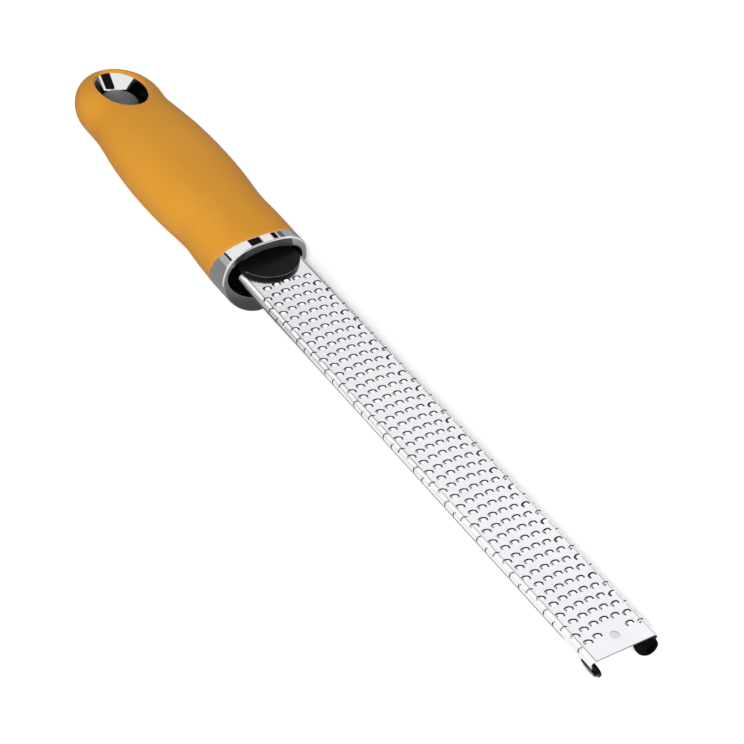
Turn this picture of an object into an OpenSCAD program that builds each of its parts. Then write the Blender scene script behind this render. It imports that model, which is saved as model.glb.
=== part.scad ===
// Citrus zester: a long etched blade with bent edges, held in a soft grip.
// X runs along the tool towards the blade's tip, Z is up and the blade's face is level.
// Inside the modules X = 0 is the blade's tip edge and Z = 0 is the top of its face.

/* [Blade] */
// Free length of the blade, from the collar's front to the tip edge
blade_reach = 202.3; // [150:0.1:260]
// Width of the flat face, from crease to crease
face_w = 23.2; // [20:0.1:26]
// Thickness of the steel sheet
sheet_t = 0.5; // [0.4:0.05:0.8]
// Outer radius of the two long bends
bend_r = 1.5; // [1.2:0.05:1.8]
// Lean of the side flanges past square, inwards at the bottom
flange_lean = 26; // [10:1:30]
// Straight drop of a flange below its bend
flange_drop = 2.7; // [2.6:0.1:4.5]
// Bare length between the collar and the start of the flanges
flange_setback = 3; // [1:0.1:6]

/* [Teeth] */
// Half width and depth of the curved slot around a tooth
slot_r = 1.5; // [1.2:0.05:1.7]
// Width of the slot
slot_w = 0.6; // [0.3:0.05:0.7]
// Distance between neighbouring teeth of a row
tooth_pitch = 4.16; // [3.8:0.01:4.8]
// Distance between rows
row_pitch = 4.327; // [4:0.001:5]
// Radius of the shallow curve that each row follows
row_bow = 41; // [35:1:80]
// Sideways offset of the etched pattern on the sheet
pattern_y = 0.2; // [-0.5:0.1:0.5]
// Lift of a tooth's free edge, in degrees
tooth_lift = 12; // [6:1:20]
// Distance of the last row from the tip edge
tip_margin = 7.65; // [6:0.01:14]
// Least distance of the first row from the collar
root_margin = 11.6; // [8:0.1:20]
// Half width of the bare patch in the last row
bare_patch = 3.6; // [0:0.1:6]
// Radius of the round mark near the tip
mark_r = 1.6; // [1:0.1:2.6]
// Distance of the mark's middle from the tip edge
mark_margin = 5.7; // [4:0.1:7]

/* [Tang] */
// Length of the tang at full width, behind the collar's front
tang_shoulder = 6.5; // [4:0.1:9]
// Full length of the tang, behind the collar's front
tang_len = 40; // [25:1:60]
// Width of the narrow part of the tang
tang_w = 15; // [10:0.5:18]
// Radius of the two holes that the core's pegs fill
peg_r = 2.2; // [1.5:0.1:3]

/* [Tip feet] */
// Half length of a foot along the blade
foot_half = 4.4; // [4:0.1:6]
// Place of a foot's middle, ahead of the tip edge
foot_x = -2.2; // [-3:0.1:0]
// Depth of a foot's bottom below the blade's face, along the flange
foot_depth = 10.2; // [9:0.1:13]
// Thickness of a foot's inner cheek
cheek_in = 1.2; // [0.8:0.1:1.6]
// Thickness of a foot's outer cheek
cheek_out = 0.3; // [0.2:0.1:1.2]
// Depth of the flange's tab inside the foot
tab_depth = 2.6; // [1.5:0.1:3]
// Half length of that tab
tab_half = 2; // [1.5:0.1:2.2]

/* [Collar] */
// Width of the collar
collar_w = 34.6; // [32:0.1:40]
// Height of the collar's top above its widest line
collar_rise = 12.8; // [11:0.1:15]
// Depth of the collar's bottom below its widest line
collar_fall = 18.6; // [16:0.1:22]
// Depth of the widest line below the blade's face
collar_mid = 4.5; // [3:0.1:6]
// Length of the collar's side at the height of the blade's face
collar_len = 7; // [6:0.1:10]
// Lean of the collar's back plane: travel along X for each unit of height
back_slant = 0.35; // [0.1:0.01:0.4]
// Rounding of the collar's front edge
collar_edge = 0.5; // [0.2:0.05:0.8]
// Wall at the sides of the collar's mouth
collar_side_wall = 1.9; // [1.2:0.1:3]
// Wall at the bottom of the collar's mouth
collar_floor_wall = 6.6; // [4:0.1:8]
// Wall at the top of the collar's mouth
collar_top_wall = 3.7; // [3:0.1:5]
// Wall that the collar keeps above the core's brow
brow_wall = 0.7; // [0.5:0.05:1.2]

/* [Core] */
// Distance from the collar's side to the brow's lower corner
brow_inset = 6.9; // [6:0.1:8]
// Height of the brow's arched lower edge at its middle
brow_arch = 5; // [4.2:0.1:5.4]
// Height of the brow's lower edge at its sides
brow_side = 2.9; // [2.4:0.1:3.6]
// Recess of the plug's face behind the collar's front
plug_recess = 2.7; // [1.5:0.1:4]
// Recess of the mouth's back wall behind the collar's front
mouth_recess = 5.2; // [4.5:0.1:8]
// Thickness of the tongue that lies on the blade
tongue_t = 1.5; // [1:0.1:2]
// Radius of the tongue's rounded end
tongue_r = 12.5; // [11.5:0.1:14]
// Reach of the tongue ahead of the collar's front
tongue_reach = 11; // [6:0.1:11.2]
// Length of the plug behind the collar's front
plug_len = 17; // [15:0.5:24]
// Length of the stem behind the collar's front
stem_len = 80; // [65:1:84]
// Half width of the stem
stem_half = 10.5; // [9.5:0.1:12]
// Height of the stem above the blade's face
stem_top = 3; // [2:0.1:4]
// Depth of the stem below the blade's face
stem_bottom = 10; // [6:0.1:11]

/* [Grip] */
// Distance from the collar's front to the middle of the hanging hole
hole_reach = 102.3; // [98:0.1:120]
// Radius of the round head at the end of the grip
head_r = 16.8; // [15.8:0.1:19]
// Length from the hole's middle to the butt end
head_len = 17.2; // [16:0.1:20]
// Height of the butt end's edge above the blade's face
butt_z = 1.7; // [0:0.1:3]

/* [Hanging eyelet] */
// Radius of the hanging bore
bore_r = 6; // [4.5:0.1:6.2]
// Half length of the funnel's mouth, along the tool
mouth_half_x = 13.2; // [12:0.1:13.6]
// Half width of the funnel's mouth
mouth_half_y = 8.9; // [8.4:0.1:9.6]
// Half length of the throat, where the funnel ends
throat_half_x = 7.8; // [7:0.1:8.4]
// Half width of the throat
throat_half_y = 6.4; // [6.3:0.1:6.8]
// Height of the funnel's mouth above the blade's face
mouth_z = 6.3; // [5.5:0.1:6.6]
// Rise of the mouth's plane towards the blade, for each unit of length
mouth_slope = 0.11; // [0:0.01:0.15]
// Depth of the throat below the funnel's mouth
throat_depth = 5.1; // [4:0.1:7]
// Depth of the round bore's start below the throat
bore_start = 3.5; // [2:0.1:5]
// Wall of the eyelet
eyelet_wall = 0.8; // [0.5:0.05:1]
// Depth of the tube's lower end below the blade's face
tube_depth = 12.2; // [9:0.1:12.4]

/* [Hidden] */
far = 60;
eps = 0.01;
half_w = face_w / 2;
brow_half = collar_w / 2 - brow_inset;
collar_x = -blade_reach;
hole_x = collar_x - hole_reach;
butt_x = hole_x - head_len;
back_x = collar_x - collar_len;
flange_x = collar_x + flange_setback;
// The tool stands on the collar's bottom, and its length is centred on the origin
rest_z = collar_mid + collar_fall;
shift_x = -(butt_x + foot_x + foot_half) / 2;
module in_place() translate([shift_x, 0, rest_z]) children();

// Superellipse: a half width, a rise above and a fall below its widest line, with a power for each half
function power(v, n) = sign(v) * pow(abs(v), 2 / n);
function pick_point(a, rise, fall, mid, n_up, n_down, t) =
  let (n = sin(t) > 0 ? n_up : n_down)
  [a * power(cos(t), n), (sin(t) > 0 ? rise : fall) * power(sin(t), n) - mid];
function turn(count) = [for (i = [0 : count - 1]) i * 360 / count];
function reversed(v) = [for (i = [len(v) - 1 : -1 : 0]) v[i]];
function flipped(v) = [for (p = v) [-p[0], p[1]]];

// Closed skin over a stack of rings that all have the same number of points
module loft(rings) {
  n = len(rings[0]);
  m = len(rings);
  polyhedron(
    points = [for (ring = rings) for (p = ring) p],
    faces = concat(
      [[for (i = [0 : n - 1]) i]],
      [for (j = [0 : m - 2]) for (i = [0 : n - 1]) [j * n + i, (j + 1) * n + i, (j + 1) * n + (i + 1) % n]],
      [for (j = [0 : m - 2]) for (i = [0 : n - 1]) [j * n + i, (j + 1) * n + (i + 1) % n, j * n + (i + 1) % n]],
      [[for (i = [n - 1 : -1 : 0]) (m - 1) * n + i]]
    )
  );
}

// Collar outline, shared by the collar, the grip's front and the core
pick_up = 2.6;
pick_down = 1.65;
pick_steps = 72;
function collar_ring(inset, x, slant) = [
  for (t = turn(pick_steps))
    let (p = pick_point(collar_w / 2 - inset, collar_rise - inset, collar_fall - inset, collar_mid, pick_up, pick_down, t))
    [x + slant * p[1], p[0], p[1]]
];
// Mouth of the collar, without the notch for the brow
mouth_raise = 1.2;
inner_mid = collar_mid - mouth_raise;
module mouth_outline() polygon([
  for (t = turn(pick_steps))
    pick_point(collar_w / 2 - collar_side_wall, collar_rise + inner_mid - collar_mid - collar_top_wall,
      collar_fall + collar_mid - inner_mid - collar_floor_wall, inner_mid, 2.4, pick_down, t)
]);
// Notch for the brow, under a thin wall at the collar's top
notch_top = collar_rise - collar_mid - brow_wall;
notch_taper = 1.2;
module notch_outline() intersection() {
  polygon([for (t = turn(pick_steps))
    pick_point(collar_w / 2 - brow_wall, collar_rise - brow_wall, collar_fall, collar_mid, pick_up, pick_down, t)]);
  polygon([[-brow_half, 0], [brow_half, 0], [brow_half, brow_side], [brow_half - notch_taper, notch_top],
    [-brow_half + notch_taper, notch_top], [-brow_half, brow_side]]);
}
// Arch under the brow: a circle through its middle and its two lower corners
arch_sag = brow_arch - brow_side;
arch_r = (brow_half * brow_half + arch_sag * arch_sag) / (2 * arch_sag);
module arch_outline() translate([0, brow_arch - arch_r]) circle(arch_r, $fn = 96);
// Slab across the tool between two places along X
module slab(from_x, to_x) translate([from_x, 0, 0]) rotate([90, 0, 90]) linear_extrude(to_x - from_x) children();
// Everything ahead of the collar's slanted back plane
module ahead_of_back() {
  rotate([90, 0, 0]) linear_extrude(2 * far, center = true)
    polygon([[back_x - back_slant * far, -far], [collar_x + far, -far], [collar_x + far, far], [back_x + back_slant * far, far]]);
}

module collar() color([0.78, 0.79, 0.8]) in_place() difference() {
  loft([
    collar_ring(0, back_x, back_slant),
    collar_ring(0, collar_x - collar_edge, 0),
    collar_ring(0.3 * collar_edge, collar_x - 0.3 * collar_edge, 0),
    collar_ring(collar_edge, collar_x, 0)
  ]);
  slab(collar_x - far, collar_x + 1) mouth_outline();
  slab(collar_x - far, collar_x + 1) notch_outline();
}

// Blade outline seen from above, for the face and the tang
module tang_outline() difference() {
  union() {
    translate([collar_x - tang_shoulder, -half_w]) square([tang_shoulder + flange_setback, face_w]);
    translate([collar_x - tang_len + tang_w / 2, -tang_w / 2]) square([tang_len - tang_w / 2, tang_w]);
    translate([collar_x - tang_len + tang_w / 2, 0]) circle(d = tang_w, $fn = 48);
  }
  for (k = [0, 1]) translate([collar_x - tang_len + tang_w / 2 + k * tang_w, 0]) circle(peg_r, $fn = 32);
}
module tang() translate([0, 0, -sheet_t]) linear_extrude(sheet_t) tang_outline();

// Section of the sheet: a flat face, two bends and two leaning flanges
bend_end = 90 + flange_lean;
function bend_arc(r, n) = [for (j = [0 : n])
  let (a = 90 - j * bend_end / n)
  [half_w + r * cos(a), -bend_r + r * sin(a)]];
function flange_foot(r) = [
  half_w + r * sin(bend_end) - flange_drop * sin(flange_lean),
  -bend_r + r * cos(bend_end) - flange_drop * cos(flange_lean)];
function outer_side() = concat(bend_arc(bend_r, 8), [flange_foot(bend_r)]);
function inner_side() = concat([flange_foot(bend_r - sheet_t)], reversed(bend_arc(bend_r - sheet_t, 8)));
module sheet_section() polygon(concat(
  outer_side(), inner_side(), reversed(flipped(inner_side())), reversed(flipped(outer_side()))));

// Rows of teeth: four phases that step across the blade, each row on a shallow curve
rows = 1 + floor((blade_reach - tip_margin - root_margin) / row_pitch + 0.001);
arc_out = bend_r * bend_end * PI / 180;
function phase(i) = [0, 0.25, -0.25, -0.5][i % 4] * tooth_pitch + pattern_y;
function row_x(i, y) = -tip_margin - (rows - 1 - i) * row_pitch + row_bow - sqrt(row_bow * row_bow - y * y);
function is_bare(i, y) = i == rows - 1 && abs(y) < bare_patch;
edge_gap = 0.3;
module face_teeth() {
  for (i = [0 : rows - 1]) for (k = [-3 : 3]) {
    y = k * tooth_pitch + phase(i);
    if (abs(y) < half_w - edge_gap && !is_bare(i, y))
      translate([row_x(i, y), y, 0]) rotate([0, 0, asin(y / row_bow)]) children();
  }
}
// The same rows go on over the bends: distance s along the sheet from the middle becomes a place and a lean
module on_bend(s) {
  run = abs(s) - half_w;
  lean = min(run / arc_out, 1) * bend_end;
  drop = max(run - arc_out, 0);
  mirror([0, s < 0 ? 1 : 0, 0])
    translate([0, half_w + bend_r * sin(lean) - drop * sin(flange_lean), -bend_r + bend_r * cos(lean) - drop * cos(flange_lean)])
      rotate([-lean, 0, 0]) children();
}
module bend_teeth() {
  for (i = [1 : rows - 1]) for (k = [-3, 3]) {
    s = k * tooth_pitch + phase(i);
    if (abs(s) >= half_w - edge_gap)
      translate([row_x(i, s), 0, 0]) on_bend(s) children();
  }
}
// Outline of a slot or a tooth: straight sides and a bowed back, pointing away from the tip
back_bow = 0.7;
module tooth_outline(trim, root) intersection() {
  translate([back_bow, 0]) circle(slot_r + back_bow - trim, $fn = 48);
  translate([-2 * slot_r, trim - slot_r]) square([2 * slot_r + root, 2 * (slot_r - trim)]);
}
// A lifted tooth: a thin wedge that rises from its root line to its free edge
tooth_root = 0.35;
module tooth() {
  run = slot_r;
  rise = run * tan(tooth_lift);
  intersection() {
    rotate([90, 0, 0]) linear_extrude(2 * slot_r, center = true)
      polygon([[tooth_root, -0.06], [tooth_root, -0.3], [0.12, -sheet_t + 0.02], [-run, -sheet_t + rise], [-run, rise + 0.03],
        [0.15, 0]]);
    linear_extrude(4 * sheet_t, center = true) tooth_outline(slot_w, tooth_root);
  }
}

// Side frame of a flange: X stays, Y runs down the flange from the face's height, Z points outwards
flange_top_y = half_w + bend_r * sin(bend_end) + (bend_r * (cos(bend_end) - 1) / cos(flange_lean)) * sin(-flange_lean);
flange_depth = (bend_r * (1 - cos(bend_end)) + flange_drop * cos(flange_lean)) / cos(flange_lean);
module on_flange(side) {
  mirror([0, side < 0 ? 1 : 0, 0])
    translate([0, flange_top_y, 0])
      rotate([-90 - flange_lean, 0, 0]) children();
}
module tab_outline() {
  translate([foot_x - tab_half, flange_depth - 0.5]) square([2 * tab_half, tab_depth - 0.5]);
  translate([foot_x - tab_half + 1, flange_depth - 0.5]) square([2 * tab_half - 2, tab_depth + 0.5]);
  for (k = [-1, 1]) translate([foot_x + k * (tab_half - 1), flange_depth + tab_depth - 1]) circle(1, $fn = 24);
}
module tab(side) on_flange(side) translate([0, 0, -sheet_t]) linear_extrude(sheet_t) tab_outline();

mark_depth = 0.1;
module blade() color([0.86, 0.87, 0.89]) in_place() {
  difference() {
    union() {
      slab(flange_x, 0) sheet_section();
      tang();
      for (side = [-1, 1]) tab(side);
    }
    face_teeth() linear_extrude(4 * sheet_t, center = true) tooth_outline(0, 0);
    bend_teeth() linear_extrude(3 * sheet_t, center = true) difference() {
      tooth_outline(0, 0);
      tooth_outline(slot_w, eps);
    }
    translate([-mark_margin, pattern_y, -mark_depth]) cylinder(r = mark_r, h = 1, $fn = 48);
  }
  face_teeth() tooth();
}

// Outline of a foot, as seen square to the flange: a squarish top and an oval bottom
foot_rise = 2.6;
rim_inset = 0.8;
module foot_outline(inset) translate([foot_x, flange_depth]) polygon([for (t = turn(36))
  pick_point(foot_half - inset, foot_depth - flange_depth - inset, foot_rise, 0, 2.1, 3.2, t)]);
module foot(side) difference() {
  on_flange(side) {
    translate([0, 0, -sheet_t - cheek_in]) linear_extrude(cheek_in) foot_outline(0);
    translate([0, 0, -sheet_t - eps]) linear_extrude(cheek_out + sheet_t + eps) intersection() {
      foot_outline(rim_inset);
      translate([-far, flange_depth]) square([2 * far, far]);
    }
  }
  tab(side);
}
module foot_left() color([0.06, 0.06, 0.06]) in_place() foot(-1);
module foot_right() color([0.06, 0.06, 0.06]) in_place() foot(1);

// Core: the plug in the collar, the brow over the mouth, the tongue on the blade and the stem in the grip
plug_x = collar_x - plug_recess;
tongue_inset = 0.3;
module stem_outline() polygon([for (t = turn(48))
  pick_point(stem_half, (stem_top + stem_bottom) / 2, (stem_top + stem_bottom) / 2, (stem_bottom - stem_top) / 2, 4, 4, t)]);
// The brow's root, hidden in the grip, joins the brow to the plug
root_inset = 1.5;
module brow_root() slab(collar_x - plug_len, collar_x - mouth_recess + 1)
  translate([root_inset - brow_half, 0]) square([2 * (brow_half - root_inset), notch_top - root_inset]);
module stem_solid() {
  brow_root();
  slab(collar_x - plug_len, plug_x) mouth_outline();
  slab(collar_x - stem_len, collar_x - plug_len + eps) stem_outline();
}
module handle_core() color([0.09, 0.09, 0.09]) in_place() difference() {
  union() {
    stem_solid();
    intersection() {
      slab(collar_x - 3 * collar_len, collar_x) difference() {
        notch_outline();
        arch_outline();
      }
      ahead_of_back();
    }
    intersection() {
      translate([collar_x + tongue_reach - tongue_r, 0, 0]) cylinder(r = tongue_r, h = tongue_t, $fn = 96);
      translate([collar_x - mouth_recess, tongue_inset - half_w, 0]) cube([far, face_w - 2 * tongue_inset, far]);
    }
  }
  difference() {
    slab(collar_x - mouth_recess, plug_x + eps) intersection() {
      arch_outline();
      translate([-brow_half, 0]) square([2 * brow_half, far]);
    }
    translate([collar_x - far, -far, -far]) cube([far, 2 * far, far + tongue_t]);
  }
  tang();
}

// Grip stations along X: half width, top, bottom, widest line, power above, power below
reach = hole_reach;
stations = [
  [hole_x, head_r, 8.4, -13.8, -1, 2.2, 2.1],
  [collar_x - 0.916 * reach, 16.2, 8.3, -16.1, -2, 2.35, 1.9],
  [collar_x - 0.857 * reach, 17, 8.3, -16.9, -2.5, 2.5, 1.75],
  [collar_x - 0.73 * reach, 18.9, 8.5, -17.3, -3.1, 2.52, 1.68],
  [collar_x - 0.584 * reach, 19.6, 8.7, -18.3, -3.8, 2.54, 1.65],
  [collar_x - 0.437 * reach, 19, 8.7, -19.1, -4, 2.56, 1.65],
  [collar_x - 0.28 * reach, 17.2, 8.6, -19.5, -4.2, 2.58, 1.65],
  [collar_x - 0.173 * reach, 17.4, 8.5, -21.2, -4.35, 2.6, 1.65],
  [back_x, collar_w / 2, collar_rise - collar_mid, -collar_fall - collar_mid, -collar_mid, pick_up, pick_down]
];
last = len(stations) - 1;
// Slope of a column at a station, and a smooth curve through the stations
function rise_at(i, c) =
  i == 0 ? 0 :
  i == last ? (stations[last][c] - stations[last - 1][c]) / (stations[last][0] - stations[last - 1][0]) :
  (stations[i + 1][c] - stations[i - 1][c]) / (stations[i + 1][0] - stations[i - 1][0]);
function hermite(y0, y1, m0, m1, w, u) =
  (2 * u * u * u - 3 * u * u + 1) * y0 + (u * u * u - 2 * u * u + u) * w * m0
  + (3 * u * u - 2 * u * u * u) * y1 + (u * u * u - u * u) * w * m1;
function span_of(x, i = 0) = i >= last - 1 || x <= stations[i + 1][0] ? i : span_of(x, i + 1);
function along(x, c) =
  let (i = span_of(x), w = stations[i + 1][0] - stations[i][0], u = (x - stations[i][0]) / w)
  hermite(stations[i][c], stations[i + 1][c], rise_at(i, c), rise_at(i + 1, c), w, u);
grip_steps = 48;
function section_ring(x, slant, a, top, bottom, mid, n_up, n_down) = [
  for (t = turn(grip_steps))
    let (p = pick_point(a, top - mid, mid - bottom, -mid, n_up, n_down, t))
    [x + slant * p[1], p[0], p[1]]
];
// The head closes in a quarter ellipse towards the butt end
function head_ring(q) =
  let (s = stations[0], k = cos(q))
  section_ring(hole_x - head_len * sin(q), 0, s[1] * k, butt_z + (s[2] - butt_z) * k, butt_z + (s[3] - butt_z) * k,
    butt_z + (s[4] - butt_z) * k, s[5], s[6]);
// The last stretch leans over to meet the collar's slanted back
lean_run = 28;
function eased(u) = u * u * (3 - 2 * u);
function grip_ring(x) =
  section_ring(x, back_slant * eased(max(0, (x - back_x + lean_run) / lean_run)), along(x, 1), along(x, 2), along(x, 3),
    along(x, 4), along(x, 5), along(x, 6));
head_turns = [88.5, 84, 77, 69, 61, 53, 45, 37, 29, 21, 14, 7];
body_rings = 46;
module grip_skin() loft(concat(
  [for (q = head_turns) head_ring(q)],
  [for (j = [0 : body_rings]) grip_ring(hole_x + (back_x - hole_x) * j / body_rings)]
));

// Eyelet rings: ovals on the sloping mouth plane, changing to level circles below
eye_steps = 48;
throat_z = mouth_z - throat_depth;
bore_z = throat_z - bore_start;
function oval(half_x, half_y, z, slope) = [for (t = turn(eye_steps))
  [hole_x + half_x * cos(t), half_y * sin(t), z + slope * half_x * cos(t)]];
// The round bore and tube meet the funnel on a very narrow ledge
ledge = 0.1;
funnel_rings = [
  oval(bore_r + eyelet_wall + ledge, bore_r + eyelet_wall + ledge, bore_z, 0),
  oval(throat_half_x + eyelet_wall, throat_half_y + eyelet_wall, throat_z, 0.3 * mouth_slope),
  oval(mouth_half_x, mouth_half_y, mouth_z, mouth_slope)
];
module funnel_outside() loft(funnel_rings);
module funnel_inside() loft([
  oval(bore_r + ledge, bore_r + ledge, bore_z, 0),
  oval(throat_half_x, throat_half_y, throat_z, 0.3 * mouth_slope),
  oval(mouth_half_x - 0.35, mouth_half_y - 0.35, mouth_z, mouth_slope),
  oval(mouth_half_x - 0.35, mouth_half_y - 0.35, mouth_z + 1, mouth_slope)
]);
// The hole in the grip: the funnel's outside, then the lip that the grip rolls over the rim
module grip_funnel() loft(concat(funnel_rings, [
  oval(mouth_half_x + 0.1, mouth_half_y + 0.1, mouth_z + 0.6, mouth_slope),
  oval(mouth_half_x + 0.7, mouth_half_y + 0.7, mouth_z + 1.8, mouth_slope),
  oval(mouth_half_x + 1.6, mouth_half_y + 1.6, mouth_z + 3.4, mouth_slope)
]));
module tube(r, from_z) translate([hole_x, 0, from_z]) cylinder(r = r, h = bore_z + 0.4 - from_z, $fn = 64);
module hanging_eyelet() color([0.8, 0.81, 0.82]) in_place() difference() {
  union() {
    funnel_outside();
    tube(bore_r + eyelet_wall, -tube_depth);
  }
  funnel_inside();
  tube(bore_r, -far);
}

module handle_grip() color([0.84, 0.59, 0.2]) in_place() difference() {
  grip_skin();
  stem_solid();
  grip_funnel();
  tube(bore_r + eyelet_wall, -far);
}

handle_grip();
handle_core();
collar();
hanging_eyelet();
blade();
foot_left();
foot_right();
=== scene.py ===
# %% [markdown]
# A citrus zester dressed for its picture
#
# The tool is a long strip of etched steel held in a soft grip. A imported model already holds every
# piece at its real size. This script gives each piece the surface that the real one has: soft
# rubber, mirror plating, black moulded plastic and bright steel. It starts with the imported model,
# so nothing has to be placed by eye.

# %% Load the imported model
import math

import bmesh
import bpy
from mathutils import Euler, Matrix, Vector


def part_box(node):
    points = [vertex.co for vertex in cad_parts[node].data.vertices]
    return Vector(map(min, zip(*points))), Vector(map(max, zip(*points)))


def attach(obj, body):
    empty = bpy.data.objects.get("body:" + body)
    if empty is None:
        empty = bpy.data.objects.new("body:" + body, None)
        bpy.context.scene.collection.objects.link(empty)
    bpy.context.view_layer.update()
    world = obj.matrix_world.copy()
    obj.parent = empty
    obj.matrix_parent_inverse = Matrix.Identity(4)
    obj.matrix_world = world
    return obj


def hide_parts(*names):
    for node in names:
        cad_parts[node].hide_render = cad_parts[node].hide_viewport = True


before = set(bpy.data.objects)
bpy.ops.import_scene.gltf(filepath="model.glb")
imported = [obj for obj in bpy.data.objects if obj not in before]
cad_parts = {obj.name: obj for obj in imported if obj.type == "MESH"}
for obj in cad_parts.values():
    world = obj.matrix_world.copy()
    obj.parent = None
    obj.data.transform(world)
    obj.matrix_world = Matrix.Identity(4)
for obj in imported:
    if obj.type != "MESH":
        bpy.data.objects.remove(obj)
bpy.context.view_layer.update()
print("packed nodes:", sorted(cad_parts))

# %% [markdown]
# Where things are
#
# Blender works in metres, and a zester is drawn in millimetres, so a place in metres is a number of
# millimetres times MM. The collar's box gives the two places that everything else is measured
# from: its front plane, and the height of the blade's face.

# %% Driving places
MM = 0.001
BLADE_REACH = 202.3 * MM
COLLAR_RISE = 12.8
COLLAR_FALL = 18.6
COLLAR_MID = 4.5
COLLAR_TOP = COLLAR_RISE - COLLAR_MID
COLLAR_BOTTOM = -COLLAR_FALL - COLLAR_MID
collar_low, collar_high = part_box("collar")
FACE_Z = collar_high.z - COLLAR_TOP * MM
FRONT_X = collar_high.x
TIP_X = FRONT_X + BLADE_REACH
COLLAR_X = -BLADE_REACH / MM


def at_tool(x, y, z):
    """A point in millimetres, measured from the middle of the blade's tip edge, as a place in metres."""
    return (TIP_X + x * MM, y * MM, FACE_Z + z * MM)


print(f"tip edge at {TIP_X:.4f} m, blade face at {FACE_Z:.4f} m")

# %% [markdown]
# The camera
#
# The picture was taken from high up beyond the blade's tip with a long lens. The place and the
# three angles were found from the rows of teeth, which are as regular as ruled paper.

# %% Camera
CAMERA_PLACE = (315.75, -392.5, 516.15)
CAMERA_TURN = (48.8315, -7.7034, 55.7385)
LENS_MM = 115.09
SENSOR_MM = 36
NEAREST_SEEN = 0.05

camera_data = bpy.data.cameras.new("picture_camera")
camera_data.lens = LENS_MM
camera_data.sensor_width = SENSOR_MM
camera_data.clip_start = NEAREST_SEEN
camera = bpy.data.objects.new("picture_camera", camera_data)
camera.location = at_tool(*CAMERA_PLACE)
camera.rotation_euler = Euler([math.radians(a) for a in CAMERA_TURN])
bpy.context.scene.collection.objects.link(camera)
bpy.context.scene.camera = camera
print("camera", [round(v, 3) for v in camera.location])

# %% [markdown]
# Shorthand for node trees
#
# The sky, the table and every finish are node trees, and all of them are made of the same few
# steps: a sum, a ramp, a mix of two colours, and a place or a direction split into its parts. These
# short helpers make one step each, so that the trees below read like a recipe.

# %% Node helpers


def feed(tree, socket, value):
    """Links a socket to another one, or writes a number, a grey or a colour on it."""
    if isinstance(value, bpy.types.NodeSocket):
        tree.links.new(value, socket)
    elif isinstance(value, tuple):
        socket.default_value = (*value, 1)
    elif socket.type == "RGBA":
        socket.default_value = (value, value, value, 1)
    else:
        socket.default_value = value


def add_sum(tree, operation, *terms):
    """One sum on sockets or plain numbers."""
    node = tree.nodes.new("ShaderNodeMath")
    node.operation = operation
    for socket, term in zip(node.inputs, terms):
        feed(tree, socket, term)
    return node.outputs[0]


def add_product(tree, first, *others):
    """Several masks or numbers multiplied."""
    for other in others:
        first = add_sum(tree, "MULTIPLY", first, other)
    return first


# %% Ramps and mixes


def add_ramp(tree, value, start, end, low=0, high=1):
    """Runs from low to high while the value runs from start to end, and is level outside."""
    node = tree.nodes.new("ShaderNodeMapRange")
    for name, number in (("From Min", start), ("From Max", end), ("To Min", low), ("To Max", high)):
        node.inputs[name].default_value = number
    tree.links.new(value, node.inputs["Value"])
    return node.outputs["Result"]


def add_mm_ramp(tree, value, span, low=0, high=1, origin=0.0):
    """A ramp over a span in millimetres, counted from an origin in metres."""
    start, end = (origin + place * MM for place in span)
    return add_ramp(tree, value, start, end, low, high)


def add_mix(tree, factor, under, over):
    """Lays one colour over another. Each is a socket, a colour or a grey."""
    node = tree.nodes.new("ShaderNodeMix")
    node.data_type = "RGBA"
    for name, value in (("Factor", factor), ("A", under), ("B", over)):
        feed(tree, node.inputs[name], value)
    return node.outputs["Result"]


def split_vector(tree, vector):
    """The X, Y and Z of a place or a direction."""
    node = tree.nodes.new("ShaderNodeSeparateXYZ")
    tree.links.new(vector, node.inputs[0])
    return [node.outputs[axis] for axis in "XYZ"]


# %% [markdown]
# Light
#
# Bright metal shows the room more than it shows itself. In a plain white room the collar would be
# flat grey. So the sky here is a white dome with a few dark cards on it, as a photographer hangs
# them round a studio table. Each card has a middle and a half width, in degrees round the horizon,
# and a lowest and highest place, where 1 is straight up. One node group draws any card.

# %% Studio cards
CARDS = [
    # Middle, half width, lowest, highest, shade
    (37, 42, 0.62, 0.97, 0.01),
    (-138, 11.5, -1.1, 0.37, 0.5),
    (-135, 1.7, 0.36, 0.54, 0.0),
    (151.5, 7, 0.6, 0.75, 0.01),
    (138.8, 1.8, 0.48, 0.58, 0.0),
    (132.5, 4.5, -1.1, 0.49, 0.42),
    (132.5, 4.5, 0.38, 0.49, 0.14),
    (96, 10, 0.05, 0.5, 0.18),
]
CARD_INPUTS = ("Degrees", "Up", "Middle", "Half Width", "Lowest", "Highest")
HALF_TURN = 180
SIDE_SOFTNESS = 0.5
END_SOFTNESS = 0.01


def card_group():
    """Puts out 1 inside a card and 0 outside it, with a narrow soft edge."""
    group = bpy.data.node_groups.new("studio_card", "ShaderNodeTree")
    for name in CARD_INPUTS:
        group.interface.new_socket(name=name, in_out="INPUT", socket_type="NodeSocketFloat")
    group.interface.new_socket(name="Mask", in_out="OUTPUT", socket_type="NodeSocketFloat")
    entry = group.nodes.new("NodeGroupInput")
    leave = group.nodes.new("NodeGroupOutput")
    degrees, up, middle, half_width, lowest, highest = [entry.outputs[name] for name in CARD_INPUTS]

    def soft_step(more, less, softness):
        """1 where the first value is the greater one."""
        return add_ramp(group, add_sum(group, "SUBTRACT", more, less), -softness, softness)

    turn = add_sum(group, "WRAP", add_sum(group, "SUBTRACT", degrees, middle), HALF_TURN, -HALF_TURN)
    beside = soft_step(half_width, add_sum(group, "ABSOLUTE", turn), SIDE_SOFTNESS)
    above = soft_step(up, lowest, END_SOFTNESS)
    below = soft_step(highest, up, END_SOFTNESS)
    group.links.new(add_product(group, beside, above, below), leave.inputs["Mask"])
    return group


CARD = card_group()
print("cards", len(CARDS))

# %% [markdown]
# The sky
#
# A light path node tells one kind of ray from another. Only reflections see the dome and its cards.
# The lens sees plain white behind the tool, and matt surfaces get an even grey light.

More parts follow.
